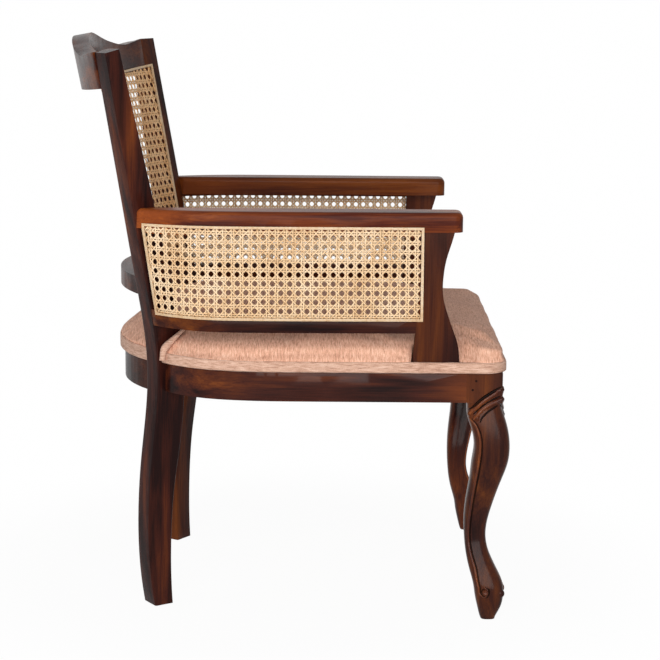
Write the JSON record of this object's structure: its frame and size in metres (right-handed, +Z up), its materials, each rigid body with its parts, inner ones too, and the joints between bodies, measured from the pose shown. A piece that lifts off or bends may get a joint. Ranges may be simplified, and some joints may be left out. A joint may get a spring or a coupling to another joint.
{
  "type": "cane armchair",
  "caption": "Upright armchair with cabriole front legs, bowed woven-cane back, cane-panelled arms and a crowned upholstered seat.",
  "frame": {"origin": "on the floor under the middle of the chair's bounding box", "axes": "+Z up, -Y the front of the chair, +X towards the sitter's left hand"},
  "size_m": [0.5828, 0.7023, 0.9071],
  "materials": {
    "wood": "dark red-brown hardwood, satin lacquer",
    "cane": "natural woven cane, unpainted",
    "fabric": "ribbed chenille upholstery",
    "plywood": "bare plywood",
    "dowel": "bare beech dowel",
    "screw": "zinc plated"
  },
  "bodies": {
    "root": {"rear_leg_right": "wood", "rear_leg_left": "wood", "front_leg_right": "wood", "front_leg_left": "wood", "side_rail_right": "wood", "side_rail_left": "wood", "front_rail": "wood", "rear_rail": "wood", "corner_blocks": "wood", "armrest_right": "wood", "armrest_left": "wood", "arm_support_right": "wood", "arm_support_left": "wood", "arm_rail_right": "wood", "arm_rail_left": "wood", "crest_rail": "wood", "lower_back_rail": "wood", "front_leg_pegs": "wood", "arm_cane_right": "cane", "arm_cane_left": "cane", "arm_cane_reed_right": "cane", "arm_cane_reed_left": "cane", "back_cane": "cane", "back_cane_reed": "cane", "seat_cushion": "fabric", "seat_front_band": "fabric", "seat_rear_band": "fabric", "seat_board": "plywood", "seat_frame_dowels": "dowel", "back_frame_dowels": "dowel", "arm_joint_dowels": "dowel", "seat_board_screws": "screw"}
  },
  "joints": []
}
